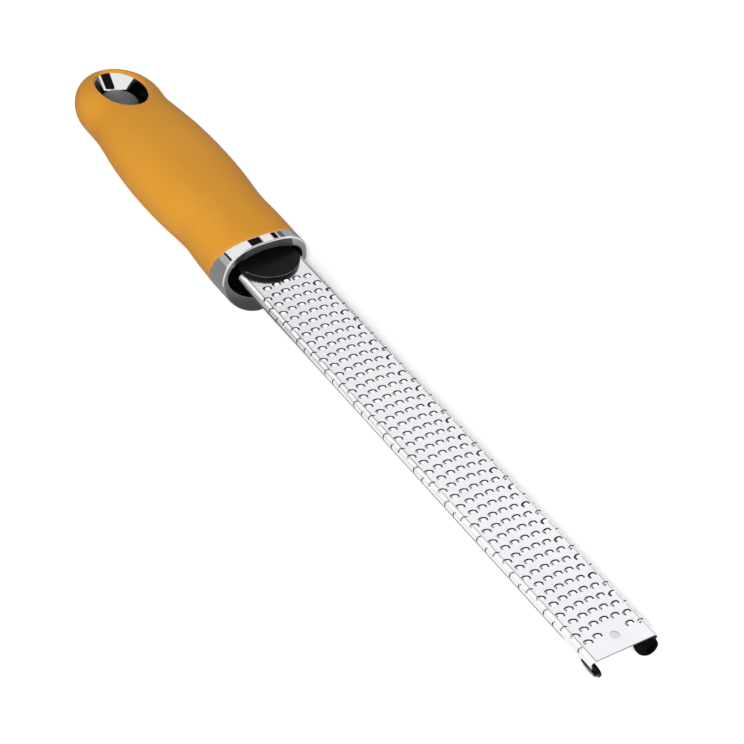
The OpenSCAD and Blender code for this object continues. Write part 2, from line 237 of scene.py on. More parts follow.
# %% World
AMBIENT = 0.3
PAPER_WHITE = 1.0
world = bpy.data.worlds.new("studio")
bpy.context.scene.world = world
world.use_nodes = True
sky = world.node_tree
sky.nodes.clear()
direction = sky.nodes.new("ShaderNodeTexCoord")
east, north, up = split_vector(sky, direction.outputs["Generated"])
degrees = add_sum(sky, "DEGREES", add_sum(sky, "ARCTAN2", north, east))
dome = PAPER_WHITE
for middle, half_width, lowest, highest, shade in CARDS:
    card = sky.nodes.new("ShaderNodeGroup")
    card.node_tree = CARD
    for name, value in zip(CARD_INPUTS, (degrees, up, middle, half_width, lowest, highest)):
        feed(sky, card.inputs[name], value)
    dome = add_mix(sky, card.outputs["Mask"], dome, shade)
path = sky.nodes.new("ShaderNodeLightPath")
seen = add_mix(sky, path.outputs["Is Glossy Ray"], AMBIENT, dome)
backdrop = add_mix(sky, path.outputs["Is Camera Ray"], seen, PAPER_WHITE)
background = sky.nodes.new("ShaderNodeBackground")
sky.links.new(backdrop, background.inputs["Color"])
world_out = sky.nodes.new("ShaderNodeOutputWorld")
sky.links.new(background.outputs[0], world_out.inputs[0])
bpy.context.scene.view_settings.view_transform = "Standard"
print("studio world with", len(sky.nodes), "nodes")

# %% [markdown]
# The lamp
#
# The lamp is a soft box far behind the camera, on the line from the tool through the lens. The
# shadow then falls behind the tool, where the picture does not show it, and the white table is
# dark only where it is seen through the slots. Mirrors do not show the lamp.

# %% Lamp
LAMP_AIM = (-160, 0, 0)
LAMP_TIMES = 2.0
LAMP_SIZE = 0.16
LAMP_WATTS = 25.0


def area_lamp(name, place, aim, size, watts):
    """A square lamp at a place, turned towards another place, both in metres."""
    data = bpy.data.lights.new(name, "AREA")
    data.size = size
    data.energy = watts
    lamp = bpy.data.objects.new(name, data)
    lamp.location = place
    lamp.rotation_euler = (Vector(aim) - Vector(place)).to_track_quat("-Z", "Y").to_euler()
    lamp.visible_glossy = False
    bpy.context.scene.collection.objects.link(lamp)
    return lamp


lamp_place = [a + LAMP_TIMES * (c - a) for a, c in zip(LAMP_AIM, CAMERA_PLACE)]
key = area_lamp("soft_box", at_tool(*lamp_place), at_tool(*LAMP_AIM), LAMP_SIZE, LAMP_WATTS)
print("lamp at", [round(v, 2) for v in key.location])

# %% [markdown]
# The table
#
# The table under the tool is plain white. The lens sees it as white as paper, and the light that it
# throws back at the tool is a little less, so that the tool's underside keeps its depth.

# %% Table
TABLE_SIZE = 6
TABLE_DROP = 0.0004
TABLE_ROUGHNESS = 0.9
TABLE_SEEN = 1.0
TABLE_BOUNCE = 0.8
bpy.ops.mesh.primitive_plane_add(size=TABLE_SIZE, location=(0, 0, -TABLE_DROP))
floor = bpy.context.object
floor.name = "table_top"
floor_material = bpy.data.materials.new("table_white")
floor_material.use_nodes = True
floor_material.cycles.emission_sampling = "NONE"
table = floor_material.node_tree
paper = table.nodes["Principled BSDF"]
paper.inputs["Roughness"].default_value = TABLE_ROUGHNESS
paper.inputs["Specular IOR Level"].default_value = 0.0
ray = table.nodes.new("ShaderNodeLightPath")
whiteness = add_ramp(table, ray.outputs["Is Camera Ray"], 0, 1, TABLE_BOUNCE, TABLE_SEEN)
table.links.new(whiteness, paper.inputs["Base Color"])
print("table", floor.name)

# %% [markdown]
# White to the far edge
#
# One lamp lights the near part of a table more than the far part, and the grey would show in the
# picture. A glow that only the lens sees keeps the far parts as white as the near ones. It leaves
# out the strip beside the blade, where the blade's own shadow falls.

# %% Table glow
SHADOW_Y = 20
SHADOW_START = -8
SHADOW_END_SOFTNESS = 0.4
GLOW_RAMP = (12.5, 22)
GLOW_SHADOW, GLOW_OPEN = 0.03, 0.34
table_place = table.nodes.new("ShaderNodeNewGeometry")
table_x, table_y, _ = split_vector(table, table_place.outputs["Position"])
from_front = add_sum(table, "SUBTRACT", table_x, FRONT_X)
before_shadow = add_sum(table, "MAXIMUM", add_sum(table, "SUBTRACT", SHADOW_START * MM, from_front), 0.0)
before_shadow = add_product(table, before_shadow, SHADOW_END_SOFTNESS)
beside_shadow = add_sum(table, "SUBTRACT", table_y, SHADOW_Y * MM)
squares = [add_product(table, length, length) for length in (before_shadow, beside_shadow)]
from_shadow = add_sum(table, "SQRT", add_sum(table, "ADD", *squares))
glow = add_mm_ramp(table, from_shadow, GLOW_RAMP, GLOW_SHADOW, GLOW_OPEN)
paper.inputs["Emission Color"].default_value = (1, 1, 1, 1)
table.links.new(add_product(table, glow, ray.outputs["Is Camera Ray"]), paper.inputs["Emission Strength"])
print(f"glow from {GLOW_SHADOW} in the shadow to {GLOW_OPEN} on the open table")

# %% [markdown]
# The table in reflections
#
# Plating also mirrors the table. There it is bright, except under the handle, which hides it from
# the sky. Two areas make that shade: all that lies behind the collar, and a part in front of it that
# begins under the tool and runs away from the lens.

# %% Mirrored table
SHADE_END = (8, 42)
SHADE_SIDE = (-30, -26)
SHADE_BEHIND = (-14, -7)
SHADE_MIRRORED, OPEN_MIRRORED = 0.28, 0.92
before_end = add_mm_ramp(table, from_front, SHADE_END, 1, 0)
under_tool = add_product(table, before_end, add_mm_ramp(table, table_y, SHADE_SIDE))
behind_collar = add_mm_ramp(table, from_front, SHADE_BEHIND, 1, 0)
shade = add_sum(table, "MAXIMUM", under_tool, behind_collar)
darker = add_product(table, shade, OPEN_MIRRORED - SHADE_MIRRORED)
mirrored = table.nodes.new("ShaderNodeEmission")
table.links.new(add_sum(table, "SUBTRACT", OPEN_MIRRORED, darker), mirrored.inputs["Strength"])
table_mix = table.nodes.new("ShaderNodeMixShader")
sources = (ray.outputs["Is Glossy Ray"], paper.outputs[0], mirrored.outputs[0])
for socket, source in zip(table_mix.inputs, sources):
    table.links.new(source, socket)
table.links.new(table_mix.outputs[0], table.nodes["Material Output"].inputs["Surface"])
floor.data.materials.append(floor_material)
print("table nodes", len(table.nodes))

# %% [markdown]
# Grain shared by several finishes
#
# Rubber, moulded plastic, plating and steel all have fine unevenness. One node group makes it: it
# reads the place on the object, and puts out a height for a bump and a slow, cloudy mask for colour
# and roughness. Each material sets its own sizes.

# %% Grain group
GRAIN_INPUTS = (("Fine Scale", 2000.0), ("Cloud Scale", 60.0), ("Stretch X", 1.0))
NOISES = (("Height", "Fine Scale", 2.0), ("Cloud", "Cloud Scale", 3.0))


def grain_group():
    """Two noises, a fine one and a cloudy one, both stretched along the tool."""
    group = bpy.data.node_groups.new("surface_grain", "ShaderNodeTree")
    for name, default in GRAIN_INPUTS:
        socket = group.interface.new_socket(name=name, in_out="INPUT", socket_type="NodeSocketFloat")
        socket.default_value = default
    for name, _, _ in NOISES:
        group.interface.new_socket(name=name, in_out="OUTPUT", socket_type="NodeSocketFloat")
    nodes, links = group.nodes, group.links
    entry = nodes.new("NodeGroupInput")
    leave = nodes.new("NodeGroupOutput")
    place = nodes.new("ShaderNodeTexCoord")
    stretch = nodes.new("ShaderNodeCombineXYZ")
    stretch.inputs["Y"].default_value = 1
    stretch.inputs["Z"].default_value = 1
    links.new(entry.outputs["Stretch X"], stretch.inputs["X"])
    scaled = nodes.new("ShaderNodeVectorMath")
    scaled.operation = "MULTIPLY"
    links.new(place.outputs["Object"], scaled.inputs[0])
    links.new(stretch.outputs[0], scaled.inputs[1])
    for output, scale, detail in NOISES:
        noise = nodes.new("ShaderNodeTexNoise")
        noise.inputs["Detail"].default_value = detail
        links.new(scaled.outputs[0], noise.inputs["Vector"])
        links.new(entry.outputs[scale], noise.inputs["Scale"])
        links.new(noise.outputs["Fac"], leave.inputs[output])
    return group


GRAIN = grain_group()
print("group", GRAIN.name)

# %% Finish helpers
CLOUD_LOW, CLOUD_HIGH = 0.3, 0.7
# The near-black that is painted into a colour where plating mirrors it, a painted reflection.
SEEN_IN_PLATING = (0.03, 0.03, 0.032)


def new_finish(name, fine, cloud, stretch=1.0):
    """A material with its tree, its Principled shader and the grain at its own sizes."""
    material = bpy.data.materials.new(name)
    material.use_nodes = True
    tree = material.node_tree
    grain = tree.nodes.new("ShaderNodeGroup")
    grain.node_tree = GRAIN
    for socket, size in zip(grain.inputs, (fine, cloud, stretch)):
        socket.default_value = size
    return material, tree, tree.nodes["Principled BSDF"], grain


def drift(tree, grain, low, high):
    """Spreads the grain's cloudy value, which sits near a half, over a range."""
    return add_ramp(tree, grain.outputs["Cloud"], CLOUD_LOW, CLOUD_HIGH, low, high)


def add_roughness(tree, shader, grain, low, high):
    """Lets the shine drift between two roughnesses."""
    tree.links.new(drift(tree, grain, low, high), shader.inputs["Roughness"])


# %% Bumps, reflections and places


def add_bump(tree, shader, grain, depth_mm, strength):
    """Raises the fine grain by a depth in millimetres."""
    bump = tree.nodes.new("ShaderNodeBump")
    bump.inputs["Distance"].default_value = depth_mm * MM
    bump.inputs["Strength"].default_value = strength
    tree.links.new(grain.outputs["Height"], bump.inputs["Height"])
    tree.links.new(bump.outputs[0], shader.inputs["Normal"])


def dark_in_plating(tree, colour):
    """The colour itself for the lens, and nearly black where plating mirrors it."""
    path = tree.nodes.new("ShaderNodeLightPath")
    # Painted reflection: for rays that plating reflects, the colour is painted nearly black.
    return add_mix(tree, path.outputs["Is Glossy Ray"], colour, SEEN_IN_PLATING)


def object_place(tree):
    """X, Y and Z of the place on the object."""
    return split_vector(tree, tree.nodes.new("ShaderNodeTexCoord").outputs["Object"])


def true_facing(tree):
    """X, Y and Z of the direction that a facet looks in."""
    return split_vector(tree, tree.nodes.new("ShaderNodeNewGeometry").outputs["True Normal"])


# %% [markdown]
# Soft grip rubber
#
# The grip has a powdery amber skin. It scatters light widely, with a weak broad shine, and its
# colour drifts a little where hands and the mould have touched it. Where the plating mirrors the
# grip, its colour is painted nearly black, a painted reflection, and this keeps the eyelet's wedges
# of black and white clean.

# %% Grip rubber
AMBER_LOW, AMBER_HIGH = (0.66, 0.28, 0.02), (0.71, 0.315, 0.034)


def grip_rubber():
    """Powdery amber rubber with a weak sheen."""
    material, tree, shader, grain = new_finish("soft_amber_rubber", fine=3500, cloud=25)
    colour = add_mix(tree, drift(tree, grain, 0, 1), AMBER_LOW, AMBER_HIGH)
    tree.links.new(dark_in_plating(tree, colour), shader.inputs["Base Color"])
    add_roughness(tree, shader, grain, 0.55, 0.64)
    shader.inputs["Specular IOR Level"].default_value = 0.25
    shader.inputs["Sheen Weight"].default_value = 0.03
    shader.inputs["Sheen Roughness"].default_value = 0.4
    add_bump(tree, shader, grain, depth_mm=0.03, strength=0.6)
    return material


RUBBER = grip_rubber()
print("finish", RUBBER.name)

# %% [markdown]
# Bright plating
#
# The collar and the eyelet are plated like a mirror, and the ring at the collar's front is blasted
# to a grey satin. Both are pure metal in Blender, and only their roughness and tone differ. The
# satin is painted darker towards the table, as painted shade. The tube under the funnel is too deep
# for the sky to reach, so its plating is painted a plain dark grey, as painted shade.

# %% Plating
MIRROR_TONE = (0.80, 0.81, 0.83)
SATIN_LOW, SATIN_HIGH = (0.2, 0.19, 0.175), (0.46, 0.45, 0.44)
BORE_TONE = (0.2, 0.195, 0.2)
PLATING_GRAIN = {"fine": 5000, "cloud": 90}


def plating(name, tone, roughness, grain_depth=0.0, dark_when_mirrored=False, metal=1.0):
    """Metal plating. With the flag set, its colour is painted dark where other plating mirrors it, a painted
    reflection.
    """
    material, tree, shader, grain = new_finish(name, **PLATING_GRAIN)
    shader.inputs["Base Color"].default_value = (*tone, 1)
    if dark_when_mirrored:
        tree.links.new(dark_in_plating(tree, tone), shader.inputs["Base Color"])
    shader.inputs["Metallic"].default_value = metal
    add_roughness(tree, shader, grain, *roughness)
    if grain_depth:
        add_bump(tree, shader, grain, grain_depth, strength=0.5)
    return material


MIRROR = plating("mirror_plating", MIRROR_TONE, (0.02, 0.05), dark_when_mirrored=True)
SATIN = plating("satin_plating", SATIN_HIGH, (0.3, 0.4), grain_depth=0.02)
# The tube's plain dark grey is painted shade, for a tube too deep for the sky to reach.
BORE_GREY = plating("bore_plating", BORE_TONE, (0.3, 0.4), dark_when_mirrored=True, metal=0.35)
print("finish", MIRROR.name, SATIN.name, BORE_GREY.name)

# %% Satin shade
SATIN_DARKEST = collar_low.z + 8 * MM
SATIN_LIGHTEST = collar_high.z - 4 * MM
satin_tree = SATIN.node_tree
_, _, satin_height = object_place(satin_tree)
# Painted shade: the satin is painted darker towards the table and lighter towards the top.
satin_rise = add_ramp(satin_tree, satin_height, SATIN_DARKEST, SATIN_LIGHTEST)
satin_painted_shade = add_mix(satin_tree, satin_rise, SATIN_LOW, SATIN_HIGH)
satin_tree.links.new(satin_painted_shade, satin_tree.nodes["Principled BSDF"].inputs["Base Color"])
print(f"satin shaded from {SATIN_DARKEST:.4f} m to {SATIN_LIGHTEST:.4f} m")

# %% [markdown]
# Black plastics
#
# The core is black with the fine satin of a spark-eroded mould. The two feet at the tip are the
# same black polished to a gloss. The brow, a painted highlight along the tongue's edge and painted
# shade in the depth of the mouth are made by the same recipe with tones of their own.

# %% Black plastics
CLOUD_LIFT = (1.5, 1.5, 1.6)


def black_plastic(name, tone, roughness, grain_depth, shine):
    """Moulded plastic of one grey, a little lighter where the cloudy mask is high."""
    material, tree, shader, grain = new_finish(name, fine=4000, cloud=120)
    lifted = tuple(tone * times for times in CLOUD_LIFT)
    tree.links.new(add_mix(tree, drift(tree, grain, 0, 1), tone, lifted), shader.inputs["Base Color"])
    add_roughness(tree, shader, grain, *roughness)
    shader.inputs["Specular IOR Level"].default_value = shine
    add_bump(tree, shader, grain, grain_depth, strength=0.5)
    return material


CORE_BLACK = black_plastic("core_black", 0.003, (0.3, 0.42), grain_depth=0.01, shine=0.1)
# The mouth's depth is painted shade, and the tongue's light edge line is a painted highlight.
MOUTH_PAINTED_SHADE = black_plastic("core_painted_shade", 0.001, (0.5, 0.6), grain_depth=0.01, shine=0.0)
BROW_GREY = black_plastic("core_face", 0.035, (0.35, 0.45), grain_depth=0.01, shine=0.3)
TONGUE_PAINTED_HIGHLIGHT = black_plastic("core_painted_highlight", 0.62, (0.3, 0.4), grain_depth=0.005, shine=0.5)
FOOT_BLACK = black_plastic("foot_black", 0.001, (0.1, 0.16), grain_depth=0.002, shine=0.06)
print("finish", CORE_BLACK.name, MOUTH_PAINTED_SHADE.name, BROW_GREY.name, TONGUE_PAINTED_HIGHLIGHT.name, FOOT_BLACK.name)

# %% [markdown]
# Etched steel
#
# The blade is bright sheet with a fine rolled grain along its length. The lifted teeth are painted
# a little brighter than the flat sheet between them, a painted highlight. A faint grey line beside
# each bend is a painted dark reflection, the round mark near the tip is a little duller than the
# sheet, and the lowest strip of each bent side is painted dark, as painted shade. Each of these is
# a mask: a few ramps on the place and on the direction that the sheet faces, multiplied.

# %% Marks on the steel
CREASE_Y = 11.6
CREASE_INSIDE = (CREASE_Y - 0.35, CREASE_Y - 0.1)
CREASE_OUTSIDE = (CREASE_Y + 0.3, CREASE_Y + 0.1)
CREASE_STRENGTH = (0.75, 0.35)
MARK_DEPTH = (-0.03, -0.06)
EDGE_BAND = (0.75, 0.55)
BEFORE_TAB = (-13, -15)
NEAR_MIDDLE = 8 * MM
MID_BLADE_X = TIP_X - BLADE_REACH / 2
blade_corners = [vert.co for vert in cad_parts["blade"].data.vertices]
FLANGE_EDGE_Z = min(co.z for co in blade_corners if abs(co.x - MID_BLADE_X) < NEAR_MIDDLE)
print(f"edge of the bent sides {(FACE_Z - FLANGE_EDGE_Z) / MM:.2f} mm below the face")

# How far up or aside a facet looks, where a mask is 0 and where it is 1
LEANING = (0.996, 0.985)
NEARLY_LEVEL = (0.8, 0.95)
LEVEL = (0.98, 0.995)
UPRIGHT = (0.7, 0.9)


def crease_reflection_mask(tree, grain, place_y, facing_z):
    """The painted dark reflection line beside each bend, stronger and weaker along its way."""
    from_middle = add_sum(tree, "ABSOLUTE", place_y)
    inside = add_mm_ramp(tree, from_middle, CREASE_INSIDE)
    outside = add_mm_ramp(tree, from_middle, CREASE_OUTSIDE)
    level = add_ramp(tree, facing_z, *NEARLY_LEVEL)
    return add_product(tree, inside, outside, level, drift(tree, grain, *CREASE_STRENGTH))


def round_mark_mask(tree, place_z, facing_z):
    """The floor of the shallow round mark, which is sunk in the sheet and level."""
    sunk = add_mm_ramp(tree, place_z, MARK_DEPTH, origin=FACE_Z)
    return add_product(tree, sunk, add_ramp(tree, facing_z, *LEVEL))


def low_strip_shade_mask(tree, place_x, place_z, facing_y):
    """The lowest strip of each bent side, as far as the tab, where shade is painted."""
    at_edge = add_mm_ramp(tree, place_z, EDGE_BAND, origin=FLANGE_EDGE_Z)
    upright = add_ramp(tree, add_sum(tree, "ABSOLUTE", facing_y), *UPRIGHT)
    return add_product(tree, at_edge, upright, add_mm_ramp(tree, place_x, BEFORE_TAB, origin=TIP_X))


# %% Blade steel
STEEL_LOW, STEEL_HIGH = (0.87, 0.875, 0.925), (0.96, 0.965, 0.985)
# The teeth's white is a painted highlight, the grey beside the bends a painted dark reflection, and the
# darkest tone painted shade on the lowest strip of each bent side.
TOOTH_PAINTED_HIGHLIGHT = (1.0, 1.0, 1.0)
CREASE_PAINTED_REFLECTION = (0.22, 0.22, 0.24)
MARK_TONE = (0.72, 0.73, 0.75)
LOW_STRIP_PAINTED_SHADE = (0.12, 0.12, 0.13)


def blade_steel():
    """Bright rolled sheet with a painted highlight on its teeth, a painted dark reflection at its creases,
    painted shade on its lowest strips, and its round mark toned in.
    """
    material, tree, shader, grain = new_finish("etched_steel", fine=1500, cloud=55, stretch=0.35)
    place_x, place_y, place_z = object_place(tree)
    _, facing_y, facing_z = true_facing(tree)
    colour = add_mix(tree, drift(tree, grain, 0, 1), STEEL_LOW, STEEL_HIGH)
    # Painted light on the steel: a highlight on the teeth, a dark reflection by the bends, and shade low on
    # the bent sides.
    for mask, tone in (
        (add_ramp(tree, facing_z, *LEANING), TOOTH_PAINTED_HIGHLIGHT),
        (crease_reflection_mask(tree, grain, place_y, facing_z), CREASE_PAINTED_REFLECTION),
        (round_mark_mask(tree, place_z, facing_z), MARK_TONE),
        (low_strip_shade_mask(tree, place_x, place_z, facing_y), LOW_STRIP_PAINTED_SHADE),
    ):
        colour = add_mix(tree, mask, colour, tone)
    tree.links.new(colour, shader.inputs["Base Color"])
    shader.inputs["Metallic"].default_value = 1
    add_roughness(tree, shader, grain, 0.16, 0.22)
    add_bump(tree, shader, grain, depth_mm=0.004, strength=0.3)
    return material


STEEL = blade_steel()
print("finish", STEEL.name)

# %% [markdown]
# Walls of the slots
#
# Acid cut the slots, and it leaves their walls dull; they are also painted nearly black, as painted
# shade inside the slots. The cut edge at the tip was sheared and not etched, so it is grey. Both
# scatter light as plastic does, and the same recipe makes them.

# %% Etched and cut walls
# The near-black of the slot walls is painted shade.
ETCHED_WALL_SHADE = black_plastic("etched_wall_painted_shade", 0.006, (0.5, 0.6), grain_depth=0.01, shine=0.1)
CUT_EDGE = black_plastic("cut_edge", 0.1, (0.4, 0.5), grain_depth=0.005, shine=0.3)
print("finish", ETCHED_WALL_SHADE.name, CUT_EDGE.name)

# %% [markdown]
# Outlines shared by the grip and the collar
#
# Seen from the front the handle is shaped like a guitar pick: flat and wide at the top, drawn to a
# soft keel below. A superellipse makes both halves. Its power decides how square each half is.

# %% Superellipse
PICK_UP, PICK_DOWN = 2.6, 1.65
COLLAR_HALF = 17.3


def power(value, n):
    """A sine or cosine bent towards a squarer or a leaner curve, with its sign kept."""
    return math.copysign(abs(value) ** (2 / n), value)


def pick_point(half_w, rise, fall, mid, n_up, n_down, turn):
    """Y and Z, in millimetres, of one point of the outline."""
    c, s = math.cos(turn), math.sin(turn)
    n = n_up if s > 0 else n_down
    return half_w * power(c, n), (rise if s > 0 else fall) * power(s, n) - mid


def turns_round(count):
    """Equal turns round a full circle."""
    return [2 * math.pi * i / count for i in range(count)]


print(f"collar {2 * COLLAR_HALF} mm wide, powers {PICK_UP} above and {PICK_DOWN} below")

# %% [markdown]
# Making a mesh
#
# The grip, the eyelet and the collar are lofts: a stack of rings with the same number of points,
# joined by quads. A loft is the quickest way to a long round form whose section keeps changing.

# %% Loft faces


def loft_faces(ring_count, points, close_ends=True, close_loop=False):
    """Quads between rings, with a lid at each end or a join from the last ring to the first."""
    faces = []
    for j in range(ring_count if close_loop else ring_count - 1):
        k = (j + 1) % ring_count
        for i in range(points):
            n = (i + 1) % points
            faces.append((j * points + i, k * points + i, k * points + n, j * points + n))
    if close_ends and not close_loop:
        faces.append(tuple(range(points)))
        faces.append(tuple((ring_count - 1) * points + i for i in reversed(range(points))))
    return faces


def facing_outwards(mesh):
    """Turns all faces so that they look out of the piece."""
    work = bmesh.new()
    work.from_mesh(mesh)
    bmesh.ops.recalc_face_normals(work, faces=work.faces)
    work.to_mesh(mesh)
    work.free()


# %% Mesh helpers


def on_body(piece):
    """Lets a piece ride on the part's one body."""
    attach(piece, "root")
    return piece


def add_loft(name, rings, materials, slot, **ends):
    """A piece in tool millimetres whose skin joins a stack of rings."""
    mesh = bpy.data.meshes.new(name)
    points = [at_tool(*point) for ring in rings for point in ring]
    mesh.from_pydata(points, [], loft_faces(len(rings), len(rings[0]), **ends))
    for material in materials:
        mesh.materials.append(material)
    mesh.shade_smooth()
    facing_outwards(mesh)
    piece = bpy.data.objects.new(name, mesh)
    bpy.context.scene.collection.objects.link(piece)
    return on_body(piece)


def bake(piece):
    """Replaces a piece's mesh by what its modifiers make of it."""
    graph = bpy.context.evaluated_depsgraph_get()
    mesh = bpy.data.meshes.new_from_object(piece.evaluated_get(graph))
    piece.modifiers.clear()
    piece.data = mesh


# %% [markdown]
# The grip's body
#
# Nine stations along the handle carry the measurements that shape it: how wide it is, where its
# top and bottom run, and how square its two halves are. A smooth curve through the stations gives
# as many rings as the surface needs. The head closes in a quarter ellipse.

# %% Grip stations
HOLE_REACH = 102.3
HOLE_X = COLLAR_X - HOLE_REACH
BACK_X = COLLAR_X - 7
STATIONS = [
    # X, half width, top, bottom, widest line, power above, power below
    (HOLE_X, 16.8, 8.4, -13.8, -1, 2.2, 2.1),
    (COLLAR_X - 0.916 * HOLE_REACH, 16.2, 8.3, -16.1, -2, 2.35, 1.9),
    (COLLAR_X - 0.857 * HOLE_REACH, 17, 8.3, -16.9, -2.5, 2.5, 1.75),
    (COLLAR_X - 0.73 * HOLE_REACH, 18.9, 8.5, -17.3, -3.1, 2.52, 1.68),
    (COLLAR_X - 0.584 * HOLE_REACH, 19.6, 8.7, -18.3, -3.8, 2.54, 1.65),
    (COLLAR_X - 0.437 * HOLE_REACH, 19, 8.7, -19.1, -4, 2.56, 1.65),
    (COLLAR_X - 0.28 * HOLE_REACH, 17.2, 8.6, -19.5, -4.2, 2.58, 1.65),
    (COLLAR_X - 0.173 * HOLE_REACH, 17.4, 8.5, -21.2, -4.35, 2.6, 1.65),
    (BACK_X, COLLAR_HALF, COLLAR_TOP, COLLAR_BOTTOM, -COLLAR_MID, PICK_UP, PICK_DOWN),
]


def rise_at(i, c):
    """How steeply a station column changes at one station."""
    last = len(STATIONS) - 1
    if i == 0:
        return 0
    low, high = (last - 1, last) if i == last else (i - 1, i + 1)
    return (STATIONS[high][c] - STATIONS[low][c]) / (STATIONS[high][0] - STATIONS[low][0])


def along(x, c):
    """The smooth value of a station column at a place along the grip."""
    i = max(k for k in range(len(STATIONS) - 1) if k == 0 or x > STATIONS[k][0])
    w = STATIONS[i + 1][0] - STATIONS[i][0]
    u = (x - STATIONS[i][0]) / w
    start, end = STATIONS[i][c], STATIONS[i + 1][c]
    return (
        (2 * u**3 - 3 * u**2 + 1) * start
        + (u**3 - 2 * u**2 + u) * w * rise_at(i, c)
        + (3 * u**2 - 2 * u**3) * end
        + (u**3 - u**2) * w * rise_at(i + 1, c)
    )


print("stations", len(STATIONS))

# %% Grip rings
GRIP_POINTS = 144
HEAD_RINGS = 24
HEAD_CLOSE = 89
HEAD_LEN = 17.2
BUTT_Z = 1.7
BODY_RINGS = 120
LEAN_RUN = 28
BACK_SLANT = 0.35


def section_ring(x, slant, half_w, top, bottom, mid, n_up, n_down):
    """One section of the grip, which leans where it nears the slanted collar."""
    ring = []
    for turn in turns_round(GRIP_POINTS):
        y, z = pick_point(half_w, top - mid, mid - bottom, -mid, n_up, n_down, turn)
        ring.append((x + slant * z, y, z))
    return ring


def grip_rings():
    """Rings that open from the butt to the hole, then follow the stations to the collar."""
    rings = []
    _, half_w, *heights, n_up, n_down = STATIONS[0]
    for step in range(HEAD_RINGS):
        q = math.radians(HEAD_CLOSE - HEAD_CLOSE * step / HEAD_RINGS)
        k = math.cos(q)
        drawn_in = [BUTT_Z + (height - BUTT_Z) * k for height in heights]
        x = HOLE_X - HEAD_LEN * math.sin(q)
        rings.append(section_ring(x, 0, half_w * k, *drawn_in, n_up, n_down))
    for j in range(BODY_RINGS + 1):
        x = HOLE_X + (BACK_X - HOLE_X) * j / BODY_RINGS
        u = max(0, (x - BACK_X + LEAN_RUN) / LEAN_RUN)
        slant = BACK_SLANT * u * u * (3 - 2 * u)
        columns = range(1, len(STATIONS[0]))
        rings.append(section_ring(x, slant, *[along(x, c) for c in columns]))
    return rings


grip = add_loft("soft_grip", grip_rings(), [RUBBER], "grip")
print("grip points before the hole", len(grip.data.vertices))

# %% [markdown]
# The hole for the eyelet
#
# The rubber rolls over the edge of the bright funnel. A cutter made of ovals takes the hole out of
# the grip. It is a hair smaller than the eyelet, so the two overlap out of sight and no gap shows.

# %% Eyelet sizes
BORE_R = 6
MOUTH = (13.2, 8.9)
THROAT = (7.8, 6.4)
MOUTH_Z = 6.3
MOUTH_SLOPE = 0.11
THROAT_SLOPE = 0.3 * MOUTH_SLOPE
THROAT_Z = MOUTH_Z - 5.1
BORE_Z = THROAT_Z - 3.5
EYELET_WALL = 0.8
TUBE_END = -12.2
EYE_POINTS = 128


def oval(half_x, half_y, z, slope):
    """A ring of the eyelet, on a plane that rises towards the blade."""
    return [
        (HOLE_X + half_x * math.cos(t), half_y * math.sin(t), z + slope * half_x * math.cos(t))
        for t in turns_round(EYE_POINTS)
    ]


def mouth_oval(wider, higher):
    """An oval that stands out from the funnel's mouth, or inside it where the number is negative."""
    return oval(MOUTH[0] + wider, MOUTH[1] + wider, MOUTH_Z + higher, MOUTH_SLOPE)


# %% Grip cutter
HIDDEN_OVERLAP = 0.25
BELOW_GRIP = -30
LIP = ((1.8, 5), (0.5, 1.4), (-HIDDEN_OVERLAP, 0.1), (-HIDDEN_OVERLAP, -0.3))


def grip_cutter():
    """The space of the rolled lip, the funnel and the tube, as one solid."""
    throat = [half + EYELET_WALL - HIDDEN_OVERLAP for half in THROAT]
    tube = BORE_R + EYELET_WALL - HIDDEN_OVERLAP
    rings = [mouth_oval(wider, higher) for wider, higher in LIP]
    rings.append(oval(*throat, THROAT_Z, THROAT_SLOPE))
    rings.append(oval(tube, tube, BORE_Z, 0))
    rings.append(oval(tube, tube, BELOW_GRIP, 0))
    return add_loft("grip_cutter", rings, [], None)


cutter = grip_cutter()
print("cutter points", len(cutter.data.vertices))

# %% [markdown]
# Rubber is never sharp
#
# With the hole cut, the whole body is remade in small even squares and smoothed. This rounds the
# lip as moulded rubber is round, and it keeps the body one closed skin.

# %% Grip piece
VOXEL = 0.42 * MM
SMOOTHING = 0.5
SMOOTHING_TIMES = 8
hole = grip.modifiers.new("eyelet_hole", "BOOLEAN")
hole.object = cutter
hole.operation = "DIFFERENCE"
hole.solver = "EXACT"
remade = grip.modifiers.new("even_squares", "REMESH")
remade.mode = "VOXEL"
remade.voxel_size = VOXEL
remade.use_smooth_shade = True
soften = grip.modifiers.new("soft_edges", "SMOOTH")
soften.factor = SMOOTHING
soften.iterations = SMOOTHING_TIMES
bake(grip)
bpy.data.objects.remove(cutter)
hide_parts("handle_grip")
print("grip faces", len(grip.data.polygons))

# %% [markdown]
# The funnel's plating
#
# The funnel mirrors the room all the way round, so it looks like a fan of black and white wedges.
# The side towards the blade's left looks into the room's darkest part. That dark reflection is
# painted into its plating as a dark wedge, with a clean edge that leans as the wall does.

# %% Funnel plating
WEDGE_START = (-38, -22)
WEDGE_AT_MOUTH = 119
WEDGE_AT_THROAT = 134
WEDGE_END = (WEDGE_AT_THROAT + 1, WEDGE_AT_THROAT - 1)
WALL_FACING = (0.88, 0.8)
WEDGE_PAINTED_REFLECTION = (0.02, 0.02, 0.022)


